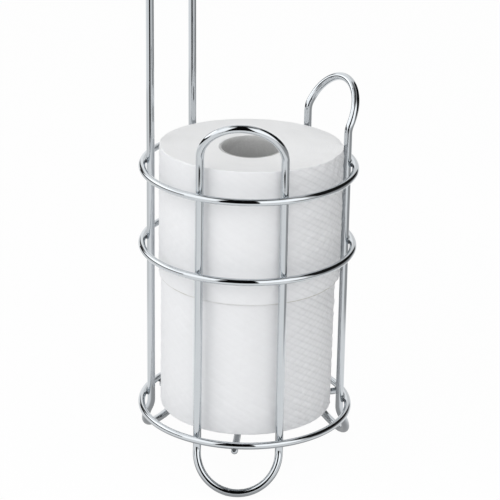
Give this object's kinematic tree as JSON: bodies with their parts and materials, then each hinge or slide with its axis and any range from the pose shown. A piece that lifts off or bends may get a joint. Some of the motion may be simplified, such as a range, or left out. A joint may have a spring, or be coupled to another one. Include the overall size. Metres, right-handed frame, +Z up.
{
  "type": "toilet roll holder",
  "caption": "Free-standing chrome wire toilet roll holder: a round cage that stores spare rolls on end, with a tall wire pair that carries a roll arm above it.",
  "frame": {"origin": "on the floor, at the middle of the stand's footprint", "axes": "+Z up, -Y towards the front pair of wires, +X to the right as seen from the front"},
  "size_m": [0.1524, 0.1554, 0.6434],
  "materials": {
    "chrome_wire": "polished, dark at the welds",
    "toilet_paper": "soft, finely embossed",
    "card_core": "matt, pale grey"
  },
  "bodies": {
    "stand": {"bottom_ring": "chrome_wire", "middle_ring": "chrome_wire", "top_ring": "chrome_wire", "front_loop": "chrome_wire", "right_loop": "chrome_wire", "upright_frame": "chrome_wire", "floor_wire_front": "chrome_wire", "floor_wire_right": "chrome_wire", "floor_wire_left": "chrome_wire"},
    "lower_roll": {"lower_roll_paper": "toilet_paper", "lower_roll_core": "card_core"},
    "upper_roll": {"upper_roll_paper": "toilet_paper", "upper_roll_core": "card_core"}
  },
  "joints": [
    {"name": "lower_roll_lift", "type": "slide", "parent": "stand", "child": "lower_roll", "axis": [0, 0, 1], "range_m": [0, 0.235]},
    {"name": "upper_roll_lift", "type": "slide", "parent": "lower_roll", "child": "upper_roll", "axis": [0, 0, 1], "range_m": [0, 0.14]}
  ]
}
